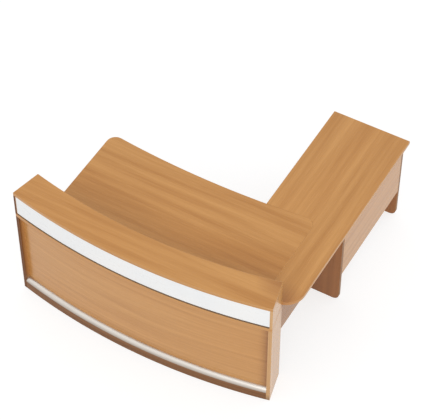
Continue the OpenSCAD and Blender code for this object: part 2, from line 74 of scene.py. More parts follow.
RETURN_OVERHANG = 0.044
RETURN_TAIL = 0.970
RETURN_CORNER_R = 0.140
JOINT_GAP = 0.0005
NEAR_LEG_GAP = 0.044
LEG_INSET = 0.037
LEG_CORNER_R = 0.045
MODESTY_T = 0.018
MODESTY_H = 0.475
APRON_H = 0.260

# Driving sizes of the fittings
BRACKET_LEG = 0.040
BRACKET_W = 0.025
BRACKET_T = 0.0025
TIE_L = 0.100
TIE_W = 0.040
TIE_T = 0.003
SCREW_D = 0.0045
SCREW_L = 0.016
SCREW_HEAD_D = 0.0085
SCREW_HEAD_H = 0.0025
BATTEN_SCREW_BITE = 0.010
DOWEL_L = 0.036
DOWEL_BITE = 0.012
PAD_D = 0.018
PAD_H = 0.006
STUD_D = 0.008
STUD_L = 0.038
FOOT_CLEAR = 0.0005
INSERT_D = 0.012
INSERT_H = 0.015
BORE_SPARE = 0.002

# Sizes that follow from those
HALF_ANGLE = asin(COUNTER_W / 2 / FRONT_RADIUS)
UPRIGHT_ANGLE = asin(UPRIGHT_X / FRONT_RADIUS)
UNDER_H = WORKTOP_H - BOARD
COUNTER_H = WORKTOP_H + LEDGE_H
LEDGE_UNDER_H = COUNTER_H - BOARD
FASCIA_Z = WORKTOP_H + SHADOW_GAP
FRONT_BACK_D = FRONT_SET_BACK + FRONT_PANEL_T
BACKING_D = FASCIA_SET_BACK + FASCIA_T
BACKING_BACK_D = BACKING_D + BACKING_T
BOX_CORNER_X = (FRONT_RADIUS - BOX_DEPTH) * sin(HALF_ANGLE)
BOX_CORNER_Y = FRONT_RADIUS - (FRONT_RADIUS - BOX_DEPTH) * cos(HALF_ANGLE)
HALF_W = COUNTER_W / 2 - WORKTOP_SET_IN
REAR_CENTRE_Y = WORKTOP_DEPTH + REAR_RADIUS
CORNER_X = HALF_W - WORKTOP_CORNER_R
CORNER_Y = REAR_CENTRE_Y - sqrt((REAR_RADIUS + WORKTOP_CORNER_R) ** 2 - CORNER_X ** 2)
CORNER_TURN = asin(CORNER_X / (REAR_RADIUS + WORKTOP_CORNER_R))
RETURN_R = COUNTER_W / 2 + RETURN_OVERHANG
RETURN_L = RETURN_R - RETURN_W
RETURN_END = WORKTOP_DEPTH + RETURN_TAIL
LEG_L = RETURN_L + LEG_INSET
LEG_R = RETURN_R - LEG_INSET
NEAR_LEG_Y = round(CORNER_Y + WORKTOP_CORNER_R, 3) + NEAR_LEG_GAP
FAR_LEG_Y = RETURN_END - BOARD
LEG_SPAN = FAR_LEG_Y - NEAR_LEG_Y - BOARD
MODESTY_X = LEG_R - MODESTY_T
MODESTY_BOTTOM = UNDER_H - MODESTY_H
APRON_BOTTOM = UNDER_H - APRON_H
GABLE_X = -HALF_W + LEG_INSET
GABLE_FRONT_Y = FRONT_RADIUS - sqrt((FRONT_RADIUS - BOX_DEPTH) ** 2 - GABLE_X ** 2) + GABLE_GAP
GABLE_REAR_Y = WORKTOP_DEPTH - GABLE_SET_BACK
RECESS_H = FOOT_CLEAR + PAD_H + FOOT_CLEAR
BORE_D = STUD_D + 2 * FOOT_CLEAR
BORE_TOP = FOOT_CLEAR + PAD_H + STUD_L + BORE_SPARE

# Steps of the arcs, rounding of the edges, and angles
BOW_STEPS = 72
ROUND_STEPS = 12
BAND_EASE = 0.0012
BOARD_EASE = 0.0003
PANEL_EASE = 0.0006
BATTEN_EASE = 0.0012
SHARP = radians(30)
CREASE = radians(60)
QUARTER = pi / 2

# Shares of a normal along an axis from which a face counts as square to it, or as level
FACING = 0.9
LEVEL = 0.7

# Step of the grain map from board to board, and the length after which it starts again
GRAIN_STEPS = (2.37, 0.83)
GRAIN_SPANS = (13, 7)

# Slots of a piece's mesh beside its face: eased edges, raw or banded edge, strip of painted shade
WORN, EDGE, SHADED_STRIP = 1, 2, 3

# Words of the sides in the names of pieces
SIDES = {-1: "left", 1: "right"}


# Materials

def srgb(red, green, blue):
    """Linear colour of an sRGB colour given from 0 to 255."""
    def linear(level):
        share = level / 255
        return share / 12.92 if share <= 0.04045 else ((share + 0.055) / 1.055) ** 2.4
    return (linear(red), linear(green), linear(blue), 1.0)


class Shader:
    """Node tree of a new material, or of the world that is given as its owner."""

    def __init__(self, name, owner=None):
        self.owner = owner or bpy.data.materials.new(name)
        self.owner.use_nodes = True
        self.tree = self.owner.node_tree
        self.tree.nodes.clear()

    def node(self, kind, inputs=None, output=0, **settings):
        """Output of a new node, or nothing for one that ends the tree."""
        made = self.tree.nodes.new("ShaderNode" + kind)
        for name, value in settings.items():
            setattr(made, name, value)
        for socket, value in (inputs or {}).items():
            if isinstance(value, bpy.types.NodeSocket):
                self.tree.links.new(value, made.inputs[socket])
            else:
                made.inputs[socket].default_value = value
        return made.outputs[output] if made.outputs else None

    def grain(self):
        """Place on the board in metres: along the grain and across it."""
        return self.node("UVMap", uv_map="grain")

    def place(self):
        """Place in the CAD model's frame, in metres."""
        return self.node("TexCoord", output="Object")

    def axis(self, index):
        """X, Y or Z of that place."""
        return self.node("SeparateXYZ", {0: self.place()}, index)

    def noise(self, where, scale, detail=2.0, rough=0.5):
        """Cloudy noise from 0 to 1 with its own scale per metre along each axis."""
        spread = self.node("Mapping", {"Vector": where, "Scale": scale})
        return self.node("TexNoise", {"Vector": spread, "Scale": 1.0, "Detail": detail, "Roughness": rough})

    def math(self, operation, first, second):
        return self.node("Math", {0: first, 1: second}, operation=operation)

    def span(self, value, low, high, to_low=0.0, to_high=1.0):
        """Value moved from one range to another and kept inside it."""
        return self.node("MapRange", {0: value, 1: low, 2: high, 3: to_low, 4: to_high})

    def blend(self, share, first, second, way="MIX"):
        return self.node("Mix", {0: share, 6: first, 7: second}, 2, data_type="RGBA", blend_type=way)

    def surface(self, colour, gloss, relief, strength, depth, **more):
        """The finished material: its colour, its roughness, and a relief with its strength and depth."""
        normal = self.node("Bump", {"Height": relief, "Strength": strength, "Distance": depth})
        inputs = {"Base Color": colour, "Roughness": gloss, "Normal": normal, **more}
        self.node("OutputMaterial", {"Surface": self.node("BsdfPrincipled", inputs)})
        return self.owner


# Layers of the print: scales along and across the grain, roughness, low end of the noise, contrast
STREAKS = (0.8, 1.0, 0.4, 0.28, 0.5)
LINES = (2.2, 3.1, 0.5, 0.25, 0.26)
FIBRES = (9, 13, 0.6, 0.25, 0.14)


def laminate(name, pale, deep, broad, contrast, rough, ior=1.5, wear=0, darkening=None, overlay=None):
    """Printed wood laminate: wavering streaks along the grain, fine fibres and short dark pores.

    broad is the number of broad streaks per metre across the grain, and wear is how far the colour is
    rubbed towards bare board. The last two arguments each pair a function that works out where the
    board takes a mark with the colour that tints it there or covers it; most of these marks are painted
    shade, and one only darkens an edge towards the floor."""
    shader = Shader(name)
    flat = shader.grain()
    drift = shader.noise(flat, (0.9, 2.4, 1))
    waver = shader.node("CombineXYZ", {1: shader.span(drift, 0.2, 0.8, -0.012, 0.012)})
    grain = shader.node("VectorMath", {0: flat, 1: waver}, operation="ADD")
    tone = 0.5
    for along, across, layer_rough, low, share in (STREAKS, LINES, FIBRES):
        layer = shader.noise(grain, (along, across * broad, 1), rough=layer_rough)
        reach = share * contrast
        tone = shader.math("ADD", tone, shader.span(layer, low, 1 - low, -reach, reach))
    fibres = layer
    colour = shader.blend(tone, srgb(*deep), srgb(*pale))
    clouds = shader.noise(flat, (0.7, 1.9, 1))
    colour = shader.blend(shader.span(clouds, 0.35, 0.75, 0.0, 0.5), colour, srgb(255, 247, 232), "MULTIPLY")
    pores = shader.span(shader.noise(grain, (70, 1500, 1), 1.0), 0.62, 0.78, 0.0, 0.3)
    colour = shader.blend(pores, colour, srgb(150, 104, 66), "MULTIPLY")
    if wear:
        rubbed_and_shaded = shader.span(shader.noise(flat, (14, 60, 1), 3.0), 0.4, 0.7, 0.15 * wear, wear)
        colour = shader.blend(rubbed_and_shaded, colour, srgb(222, 184, 140))
    # Most of these tints, and the cover below them, are painted shade
    if darkening:
        darkened, tint = darkening
        colour = shader.blend(darkened(shader), colour, srgb(*tint), "MULTIPLY")
    if overlay:
        covered, cover = overlay
        colour = shader.blend(covered(shader), colour, srgb(*cover))
    gloss = shader.span(fibres, 0.2, 0.8, rough - 0.04, rough + 0.05)
    return shader.surface(colour, gloss, shader.math("SUBTRACT", fibres, pores), 0.12, 0.0004, IOR=ior)


# Stretches that take painted shade, and one that is darker towards the floor

END_SHADE_W = 0.080
EDGE_SHADE_GAP = 0.004
CORNER_SHADE_NEAR = 0.020
CORNER_SHADE_FAR = 0.170
BEHIND_LEDGE_DEPTH = 0.490
BEHIND_LEDGE_FULL = 0.060
BEHIND_LEDGE_FADED = 0.160
BEHIND_LEDGE_X = (-0.100, 0.350)
BEHIND_LEDGE_SHARES = (0.3, 0.6)
FOOT_DARK_FULL = 0.015
FOOT_DARK_TOP = 0.060
GAP_SHADE = 0.85
MOULDING_SHADE_TOP = BASE_H + 0.8 * FRONT_SET_BACK


def plan_distance(shader, x, y):
    """Level distance from a plan point."""
    centre = (x - RETURN_OVERHANG / 2, y - RETURN_END / 2, 0)
    plan = shader.node("VectorMath", {0: shader.place(), 1: (1, 1, 0)}, operation="MULTIPLY")
    return shader.node("VectorMath", {0: plan, 1: centre}, "Value", operation="DISTANCE")


def bow_depth(shader):
    """Depth behind the bowed front."""
    return shader.math("SUBTRACT", FRONT_RADIUS, plan_distance(shader, 0, FRONT_RADIUS))


def toward_right_end(shader):
    """Share of painted shade that grows towards the front panel's right end, where the end panel stands in
    front of it.
    """
    end_x = (FRONT_RADIUS - FRONT_SET_BACK) * sin(HALF_ANGLE) - BOARD - RETURN_OVERHANG / 2
    share = shader.span(shader.axis(0), end_x - END_SHADE_W, end_x - EDGE_SHADE_GAP)
    return shader.math("POWER", share, 2.0)


def toward_front_edge(shader):
    """Share of painted shade on the end panels' inner faces, growing from the front panel's face to the bow's
    front edge.
    """
    return shader.span(bow_depth(shader), EDGE_SHADE_GAP, FRONT_SET_BACK, 1.0, 0.0)


def in_shadow_gap(shader):
    """Share of the strip under the fascia that is covered with painted shade."""
    return shader.span(bow_depth(shader), BACKING_D, BACKING_BACK_D, GAP_SHADE, 0.0)


def toward_floor(shader):
    """Share that grows towards the floor: an edge is darker towards its bottom."""
    return shader.span(shader.axis(2), FOOT_DARK_FULL, FOOT_DARK_TOP, 1.0, 0.0)


def toward_ledge_corner(shader):
    """Share of painted shade that grows towards the ledge's right rear corner, on the tops beside it."""
    away = plan_distance(shader, BOX_CORNER_X, BOX_CORNER_Y)
    return shader.span(away, CORNER_SHADE_NEAR, CORNER_SHADE_FAR, 1.0, 0.0)


def shade_behind_ledge(shader):
    """Share of painted shade on the worktop: a band behind the ledge, most on the right, and the ledge's
    corner.
    """
    off = shader.math("ABSOLUTE", shader.math("SUBTRACT", bow_depth(shader), BEHIND_LEDGE_DEPTH), 0.0)
    rubbed_and_shaded = shader.span(off, BEHIND_LEDGE_FULL, BEHIND_LEDGE_FADED, 1.0, 0.0)
    strength = shader.span(shader.axis(0), *BEHIND_LEDGE_X, *BEHIND_LEDGE_SHARES)
    return shader.math("MAXIMUM", shader.math("MULTIPLY", rubbed_and_shaded, strength), toward_ledge_corner(shader))


# Materials beside the wood laminates

def chipboard(name):
    """Raw edge of a board: pressed wood chips in a few tans."""
    shader = Shader(name)
    where = shader.place()
    chips = shader.node("TexVoronoi", {"Vector": where, "Scale": 420.0, "Randomness": 1.0}, "Distance")
    overlay = shader.noise(where, (900, 900, 900), 3.0)
    shade = shader.math("ADD", shader.math("MULTIPLY", chips, 0.9), overlay)
    colour = shader.blend(shader.span(shade, 0.4, 1.3), srgb(206, 178, 138), srgb(138, 104, 70))
    gloss = shader.span(overlay, 0.3, 0.7, 0.7, 0.9)
    return shader.surface(colour, gloss, shade, 0.4, 0.0006)


def white_laminate(name):
    """White panel: a faint cool mottle, fingertip smears in the gloss and a fine pebbled skin."""
    shader = Shader(name)
    where = shader.place()
    mottle = shader.noise(where, (3, 3, 5), 3.0)
    pebbles = shader.noise(where, (700, 700, 700))
    smears = shader.noise(where, (9, 9, 26), 3.0, 0.6)
    colour = shader.blend(shader.span(mottle, 0.3, 0.7), srgb(245, 247, 248), srgb(250, 250, 249))
    gloss = shader.span(smears, 0.35, 0.7, 0.26, 0.4)
    return shader.surface(colour, gloss, pebbles, 0.03, 0.0002, IOR=1.48)


def brushed_metal(name, pale, deep, rough, scuffs):
    """Metal brushed along the grain: scuffs dull it in patches, and its lower part is darkened as painted
    shade.
    """
    shader = Shader(name)
    grain = shader.grain()
    brush = shader.noise(grain, (6, 2600, 1), 3.0, 0.7)
    patches = shader.noise(grain, (5, 60, 1), 4.0, 0.6)
    colour = shader.blend(shader.span(brush, 0.25, 0.75), deep, pale)
    dull = shader.span(patches, 0.5, 0.75, 0.0, scuffs)
    colour = shader.blend(dull, colour, srgb(150, 146, 140))
    # Painted shade: the moulding darkens towards its foot
    foot_shade = shader.span(shader.axis(2), BASE_H, MOULDING_SHADE_TOP, 0.75, 0.0)
    colour = shader.blend(foot_shade, colour, srgb(150, 134, 120), "MULTIPLY")
    sheen = shader.span(brush, 0.2, 0.8, rough - 0.05, rough + 0.07)
    gloss = shader.math("ADD", sheen, shader.math("MULTIPLY", dull, 0.3))
    return shader.surface(colour, gloss, brush, 0.05, 0.0002, Metallic=1.0)


def plated_metal(name, pale, deep, rough):
    """Zinc-plated metal with a cloudy passivated film."""
    shader = Shader(name)
    where = shader.place()
    film = shader.noise(where, (160, 160, 160), 3.0)
    pits = shader.noise(where, (1800, 1800, 1800))
    colour = shader.blend(shader.span(film, 0.3, 0.7), deep, pale)
    gloss = shader.span(film, 0.3, 0.7, rough - 0.06, rough + 0.08)
    return shader.surface(colour, gloss, pits, 0.08, 0.0002, Metallic=1.0)


def plain_beech(name):
    """Planed beech with fine flecks, for pieces that carry no grain map."""
    shader = Shader(name)
    where = shader.place()
    rings = shader.noise(where, (60, 60, 6), 3.0)
    flecks = shader.noise(where, (900, 900, 160), 1.0)
    colour = shader.blend(shader.span(rings, 0.3, 0.7), srgb(198, 160, 116), srgb(224, 192, 150))
    colour = shader.blend(shader.span(flecks, 0.6, 0.75, 0, 0.4), colour, srgb(150, 106, 70), "MULTIPLY")
    gloss = shader.span(flecks, 0.3, 0.7, 0.5, 0.65)
    return shader.surface(colour, gloss, flecks, 0.1, 0.0003)


# Finishes

PALE_WOOD = (213, 156, 89)
DEEP_WOOD = (188, 129, 63)
WORN_WOOD = (216, 164, 100)
# Paler copy of the wood for the end panels and ledge sides: painted light, for the sheen on their faces
PALE_END = (221, 170, 110)
DEEP_END = (197, 143, 84)

# The tops darken towards the ledge's right rear corner as painted shade
TOP_WOOD = laminate("top_laminate", PALE_WOOD, DEEP_WOOD, 20, 0.8, 0.25,
                    darkening=(toward_ledge_corner, (222, 210, 202)))
# The worktop takes painted shade in a band behind the ledge and at the ledge's corner, and is covered with
# painted shade under the fascia
WORKTOP_WOOD = laminate("worktop_laminate", PALE_WOOD, DEEP_WOOD, 20, 0.8, 0.25,
                        darkening=(shade_behind_ledge, (226, 206, 160)), overlay=(in_shadow_gap, (150, 132, 112)))
# The front panel darkens towards its right end as painted shade
FRONT_WOOD = laminate("front_laminate", (216, 160, 94), (192, 134, 70), 36, 0.75, 0.25,
                      darkening=(toward_right_end, (205, 189, 169)))
SIDE_WOOD = laminate("side_laminate", PALE_WOOD, DEEP_WOOD, 22, 0.8, 0.22)
# Darker copies of the laminate and its band for the legs and gable: painted shade, for the shade under the
# return
SHADED_LEG_WOOD = laminate("shaded_leg_laminate", (184, 122, 64), (160, 100, 48), 22, 0.6, 0.3, 1.4)
# Darker copy of the laminate for the apron: painted shade under the return
SHADED_APRON_WOOD = laminate("shaded_apron_laminate", (174, 120, 64), (150, 100, 50), 22, 0.6, 0.26, 1.47)
SHADED_LEG_BAND = laminate("shaded_leg_edge_band", (160, 112, 66), (138, 94, 54), 90, 0.8, 0.4, 1.3)
RUBBED_LEG = laminate("rubbed_leg_band", (172, 124, 78), (146, 102, 60), 90, 0.7, 0.42, 1.3, 0.2)
LIT_END_WOOD = laminate("lit_end_laminate", PALE_END, DEEP_END, 22, 0.8, 0.22)
# The end panels' inner faces darken towards the front edge as painted shade
INNER_WOOD = laminate("inner_edge_laminate", PALE_END, DEEP_END, 40, 0.8, 0.4, 1.4,
                      darkening=(toward_front_edge, (155, 130, 104)))
RUBBED_WOOD = laminate("rubbed_laminate", WORN_WOOD, DEEP_WOOD, 40, 0.8, 0.36, wear=0.3)
BAND_WOOD = laminate("edge_band", PALE_WOOD, DEEP_WOOD, 90, 0.8, 0.28)
# Paler band for the right-hand edges: painted light; it is darker towards the floor
LIT_BAND = laminate("lit_edge_band", (218, 172, 116), (196, 146, 90), 90, 0.8, 0.28,
                     darkening=(toward_floor, (200, 200, 204)))
RUBBED_BAND = laminate("rubbed_edge_band", WORN_WOOD, DEEP_WOOD, 90, 0.7, 0.36, wear=0.35)
# Darker band for the left-hand edges: painted shade
SHADED_BAND = laminate("shaded_edge_band", (124, 76, 36), (102, 60, 26), 90, 0.8, 0.45, 1.22)
RUBBED_DARK = laminate("rubbed_dark_laminate", (146, 102, 62), (118, 80, 46), 60, 0.8, 0.45, 1.3, 0.2)
DARK_WOOD = laminate("dark_laminate_face", (146, 100, 60), (120, 80, 46), 50, 0.8, 0.45, 1.3)
BEECH = laminate("beech_batten", (222, 190, 148), (196, 158, 114), 60, 0.8, 0.55)
RAW_BOARD = chipboard("raw_chipboard")
WHITE = white_laminate("white_fascia")
ALUMINIUM = brushed_metal("brushed_aluminium", srgb(238, 232, 224), srgb(216, 209, 201), 0.34, 0.2)
ZINC = plated_metal("zinc_plate", srgb(186, 188, 190), srgb(152, 154, 152), 0.34)
STEEL = plated_metal("pressed_steel", srgb(202, 204, 206), srgb(172, 174, 176), 0.3)
DOWEL_WOOD = plain_beech("beech_dowel")


# Plan outlines, drawn anticlockwise as seen from above

def on_bow(angle, along, depth):
    """Plan point at an angle on the bow, a distance along the front and a depth behind it."""
    reach = FRONT_RADIUS - depth
    x = reach * sin(angle) + along * cos(angle)
    y = FRONT_RADIUS - reach * cos(angle) + along * sin(angle)
    return (x, y)


def bow_place(x, y):
    """Length along the bow and depth behind it of a plan point."""
    angle = atan2(x, FRONT_RADIUS - y)
    return FRONT_RADIUS * angle, FRONT_RADIUS - hypot(x, FRONT_RADIUS - y)


def steps(start, end, count):
    return [start + (end - start) * i / count for i in range(count + 1)]


def circle(x, y, radius, start, end, count=ROUND_STEPS):
    """Points on a circle from one angle to another."""
    return [(x + radius * cos(a), y + radius * sin(a)) for a in steps(start, end, count)]


def bow_arc(depth, start, end, count=ROUND_STEPS):
    return [on_bow(angle, 0, depth) for angle in steps(start, end, count)]


def plane_angle(plane, depth):
    """Angle at which a plane, given by its angle and its shift along the front, crosses one depth."""
    angle, shift = plane
    return angle + asin(shift / (FRONT_RADIUS - depth))


def end_planes(trim):
    """Planes of the two ends of the bow, moved inwards by trim."""
    return (-HALF_ANGLE, trim), (HALF_ANGLE, -trim)


def bow_outline(near, far, first, last):
    """Outline of a bowed board between two depths and two end planes."""
    front = bow_arc(near, plane_angle(first, near), plane_angle(last, near), BOW_STEPS)
    back = bow_arc(far, plane_angle(last, far), plane_angle(first, far), BOW_STEPS)
    return front + back


def ledge_outline(inset):
    return bow_outline(inset, BOX_DEPTH - inset, *end_planes(inset))


def worktop_outline(inset):
    """Worktop's outline moved inwards by inset: a bowed front with a narrower top behind it."""
    half = BOW_STEPS // 2
    back_d = BOX_DEPTH - inset
    last = end_planes(inset)[1]
    side_angle = asin((HALF_W - inset) / (FRONT_RADIUS - back_d))
    right = bow_arc(inset, 0, plane_angle(last, inset), half)
    right += bow_arc(back_d, plane_angle(last, back_d), side_angle)
    right += circle(CORNER_X, CORNER_Y, WORKTOP_CORNER_R - inset, 0, QUARTER + CORNER_TURN)
    right += circle(0, REAR_CENTRE_Y, REAR_RADIUS + inset, CORNER_TURN - QUARTER, -QUARTER, half)[1:]
    return right + [(-x, y) for x, y in reversed(right[1:-1])]


def return_outline(inset):
    """Return's outline moved inwards by inset: it is notched round the worktop with a hairline gap."""
    gap = JOINT_GAP + inset
    depth = BOX_DEPTH + gap
    reach = FRONT_RADIUS - depth
    radius = RETURN_CORNER_R - inset
    rear_r = REAR_RADIUS - gap
    left = RETURN_L + inset
    behind = FRONT_RADIUS - BEND_Y
    away = hypot(BEND_X, behind)
    turn = acos((away ** 2 + radius ** 2 - reach ** 2) / (2 * away * radius))
    corner = circle(BEND_X, BEND_Y, radius, atan2(behind, -BEND_X) - turn, 0, 2 * ROUND_STEPS)
    bow_end = bow_place(*corner[0])[0] / FRONT_RADIUS
    rear_start = asin(left / rear_r) - QUARTER
    outline = bow_arc(depth, asin((HALF_W + gap) / reach), bow_end)[:-1] + corner
    outline += [(RETURN_R - inset, RETURN_END - inset), (left, RETURN_END - inset)]
    outline += circle(0, REAR_CENTRE_Y, rear_r, rear_start, CORNER_TURN - QUARTER)[:-1]
    outline += circle(CORNER_X, CORNER_Y, WORKTOP_CORNER_R + gap, QUARTER + CORNER_TURN, 0)
    return outline


BEND_X = RETURN_R - RETURN_CORNER_R
BEND_Y = BOX_CORNER_Y + sqrt(RETURN_CORNER_R ** 2 - max(0.0, BOX_CORNER_X - BEND_X) ** 2)
APRON_X = on_bow(HALF_ANGLE, -BOARD / 2, BOX_DEPTH + (DOWEL_L - DOWEL_BITE) / 2)[0] - MODESTY_T / 2


def rectangle(left, right, front, back):
    return [(left, front), (right, front), (right, back), (left, back)]


def leg_edge(left, right, side, inset):
    """One side edge of a leg from its top round its lower corner, moved inwards by inset."""
    outer_x = right if side > 0 else left
    start = 0.0 if side > 0 else pi
    centre = (outer_x - side * LEG_CORNER_R, LEG_CORNER_R)
    corner = circle(*centre, LEG_CORNER_R - inset, start, start - side * QUARTER)
    return [(outer_x - side * inset, UNDER_H)] + corner


def leg_outline(left, right):
    """Core of a leg in its own plane, without its bands."""
    foot = [(left + LEG_CORNER_R, 0), (right - LEG_CORNER_R, 0)]
    return foot + leg_edge(left, right, 1, BAND)[::-1] + leg_edge(left, right, -1, BAND)


# Matrices that stand a drawn shape in its place

def move(x, y, z=0):
    return Matrix.Translation((x, y, z))


def at_angle(angle):
    """Turns a shape that is drawn at the middle of the front to another angle on the bow."""
    turn = Matrix.Rotation(angle, 4, "Z")
    return move(0, FRONT_RADIUS) @ turn @ move(0, -FRONT_RADIUS)


def facing_front(rear_y):
    """Stands a shape that is drawn flat up along X, its thickness running forwards from rear_y."""
    return Matrix(((1, 0, 0, 0), (0, 0, -1, rear_y), (0, 1, 0, 0), (0, 0, 0, 1)))


def facing_right(left_x):
    """Stands a shape that is drawn flat up along Y, its thickness running right from left_x."""
    return Matrix(((0, 0, 1, left_x), (1, 0, 0, 0), (0, 1, 0, 0), (0, 0, 0, 1)))


HERE = Matrix.Identity(4)

# The footprint's middle is the CAD model's origin
TO_FRAME = move(-RETURN_OVERHANG / 2, -RETURN_END / 2)


# Mesh builders

def ease_edges(bm, edges, amount):
    """Rounds edges over and marks the new faces as worn."""
    if amount > 0 and edges:
        bmesh.ops.bevel(bm, geom=edges, offset=amount, segments=2, profile=0.5, affect="EDGES",
                        clamp_overlap=True, material=WORN)


def is_sharp(edge):
    return len(edge.link_faces) == 2 and edge.calc_face_angle() > SHARP


def ease_sharp(bm, amount):
    """Rounds every sharp edge over."""
    bm.normal_update()
    ease_edges(bm, [edge for edge in bm.edges if is_sharp(edge)], amount)


def mark(bm, slot, test):
    """Gives a slot to the faces whose normal and middle pass a test."""
    bm.normal_update()
    for face in bm.faces:
        if test(face.normal, face.calc_center_median()):
            face.material_index = slot


def at_joint(vert):
    """Whether a point on a top's edge lies in the flush joint between the worktop and the return."""
    x, y = vert.co.xy
    depth = bow_place(x, y)[1]
    rear_y = REAR_CENTRE_Y - sqrt(REAR_RADIUS ** 2 - x ** 2)
    beside = x < HALF_W + BAND and y < rear_y + BAND
    return x > RETURN_L - BAND and depth > BOX_DEPTH - BAND and (beside or depth < BOX_DEPTH + BAND)


def loft(rows, along, across, closed=False):
    """Skin over rows of points, each joined to the next, and the points of its mesh.

    along and across place the rows and the points of a row on the grain map."""
    bm = bmesh.new()
    flat = bm.loops.layers.uv.new("grain")
    verts = [[bm.verts.new(point) for point in row] for row in rows]
    count = len(rows[0])
    for i in range(len(rows) if closed else len(rows) - 1):
        near = verts[i]
        far = verts[(i + 1) % len(rows)]
        for k in range(count):
            m = (k + 1) % count
            face = bm.faces.new((near[k], far[k], far[m], near[m]))
            corners = ((i, k), (i + 1, k), (i + 1, k + 1), (i, k + 1))
            for loop, (row, point) in zip(face.loops, corners):
                loop[flat].uv = (along[row], across[point])
    if not closed:
        bm.faces.new(verts[0])
        bm.faces.new(reversed(verts[-1]))
    bmesh.ops.recalc_face_normals(bm, faces=bm.faces)
    return bm, verts


def prism(outline, low, high, ease):
    """Solid with a plan outline between two heights and with eased edges."""
    rows = [[(x, y, height) for x, y in outline] for height in (low, high)]
    bm = loft(rows, [0, 0], [0] * (len(outline) + 1))[0]
    ease_sharp(bm, ease)
    return bm


def strip(outer, inner, low, high, closed=False, flush=None):
    """Thin band between an outer and an inner line, with its grain along it.

    Its outer edges are eased, apart from those that are flush with another board."""
    rows = [[(*out, low), (*out, high), (*back, high), (*back, low)] for out, back in zip(outer, inner)]
    along = [0.0]
    for i in range(len(outer)):
        step = Vector(outer[(i + 1) % len(outer)]) - Vector(outer[i])
        along.append(along[-1] + step.length)
    tall = high - low
    across = [0.0, tall, tall + BAND, 2 * tall + BAND, 2 * tall + 2 * BAND]
    bm, verts = loft(rows, along, across, closed)
    outside = {vert for row in verts for vert in row[:2]}
    rim = [edge for edge in bm.edges if is_sharp(edge) and set(edge.verts) <= outside]
    if flush:
        rim = [edge for edge in rim if not all(flush(vert) for vert in edge.verts)]
    ease_edges(bm, rim, BAND_EASE)
    return bm


def join(first, second):
    """Adds a second mesh to the first."""
    spare = bpy.data.meshes.new("spare")
    second.to_mesh(spare)
    second.free()
    first.from_mesh(spare)
    bpy.data.meshes.remove(spare)
    return first


def board_grain(along):
    """Grain map of a flat board: along is the axis of its grain."""
    def place(co, normal):
        face = max(range(3), key=lambda axis: abs(normal[axis]))
        rest = [axis for axis in range(3) if axis not in (face, along)]
        if face == along:
            return co[rest[0]], co[rest[1]]
        return co[along], co[rest[0]]
    return place


def bow_grain(co, normal):
    """Grain map of a bowed board: the grain follows the bow."""
    length, depth = bow_place(co.x, co.y)
    return (length, depth) if abs(normal.z) > LEVEL else (length, co.z)


def upright_grain(co, normal):
    """Grain map of turned pieces and of holes, as seen from the front."""
    return co.x, co.z


def map_grain(bm, place, seed):
    """Lays the grain map on a mesh, shifted so that no two boards show the same stretch of grain."""
    shift_u, shift_v = [seed * step % span for step, span in zip(GRAIN_STEPS, GRAIN_SPANS)]
    flat = bm.loops.layers.uv.get("grain") or bm.loops.layers.uv.new("grain")
    bm.normal_update()
    for face in bm.faces:
        for loop in face.loops:
            u, v = place(loop.vert.co, face.normal) if place else loop[flat].uv
            loop[flat].uv = (u + shift_u, v + shift_v)


seeds = iter(range(1, 1000))


def new_object(name, data):
    made = bpy.data.objects.new(name, data)
    bpy.context.scene.collection.objects.link(made)
    return made


def as_object(name, bm, materials):
    mesh = bpy.data.meshes.new(name)
    bm.to_mesh(mesh)
    bm.free()
    for material in materials:
        mesh.materials.append(material)
    mesh.shade_smooth()
    return new_object(name, mesh)


def drop(spare):
    """Deletes an object and its mesh."""
    mesh = spare.data
    bpy.data.objects.remove(spare)
    bpy.data.meshes.remove(mesh)


def put(node, bm, materials, matrix=HERE, grain=None, body="counter", holes=None):
    """Makes the piece that stands for a CAD node, puts it in its place and lets it ride on its body."""
    map_grain(bm, grain, next(seeds))
    bm.transform(TO_FRAME @ matrix)
    piece = as_object(node + "_look", bm, materials)
    if holes:
        cut(piece, holes)
    piece.data.set_sharp_from_angle(angle=CREASE)
    piece.modifiers.new("even_shading", "WEIGHTED_NORMAL").keep_sharp = True
    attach(piece, body)
    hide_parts(node)


def cut(piece, holes):
    """Cuts holes out of a piece, their walls in the slot of raw edges."""
    bm = bmesh.new()
    for hole in holes:
        join(bm, hole)
    mark(bm, EDGE, lambda normal, middle: True)
    map_grain(bm, upright_grain, 0)
    cutter = as_object("cutter", bm, list(piece.data.materials))
    modifier = piece.modifiers.new("holes", "BOOLEAN")
    modifier.object = cutter
    modifier.solver = "EXACT"
    bpy.context.view_layer.update()
    shaped = bpy.data.meshes.new_from_object(piece.evaluated_get(bpy.context.evaluated_depsgraph_get()))
    plain = piece.data
    piece.modifiers.remove(modifier)
    piece.data = shaped
    shaped.name = piece.name
    drop(cutter)
    bpy.data.meshes.remove(plain)


def ring(radius, height, count, start=0.0):
    """Level ring of points about Z, or one point on the axis."""
    if radius == 0:
        return [(0, 0, height)]
    turns = [start + 2 * pi * i / count for i in range(count)]
    return [(radius * cos(a), radius * sin(a), height) for a in turns]


def skin(rings):
    """Closed skin over rings of points that starts and ends with a single point."""
    bm = bmesh.new()
    rows = [[bm.verts.new(point) for point in points] for points in rings]
    count = max(len(row) for row in rows)
    for near, far in zip(rows, rows[1:]):
        for i in range(count):
            k = (i + 1) % count
            corners = [near[i % len(near)], near[k % len(near)], far[k % len(far)], far[i % len(far)]]
            bm.faces.new(list(dict.fromkeys(corners)))
    bmesh.ops.recalc_face_normals(bm, faces=bm.faces)
    map_grain(bm, upright_grain, 0)
    return bm


def lathe(profile, count):
    """Solid of revolution about Z from (radius, height) points that start and end on the axis."""
    return skin([ring(radius, height, count) for radius, height in profile])


# Levelling feet: the plan place of each, and their shape

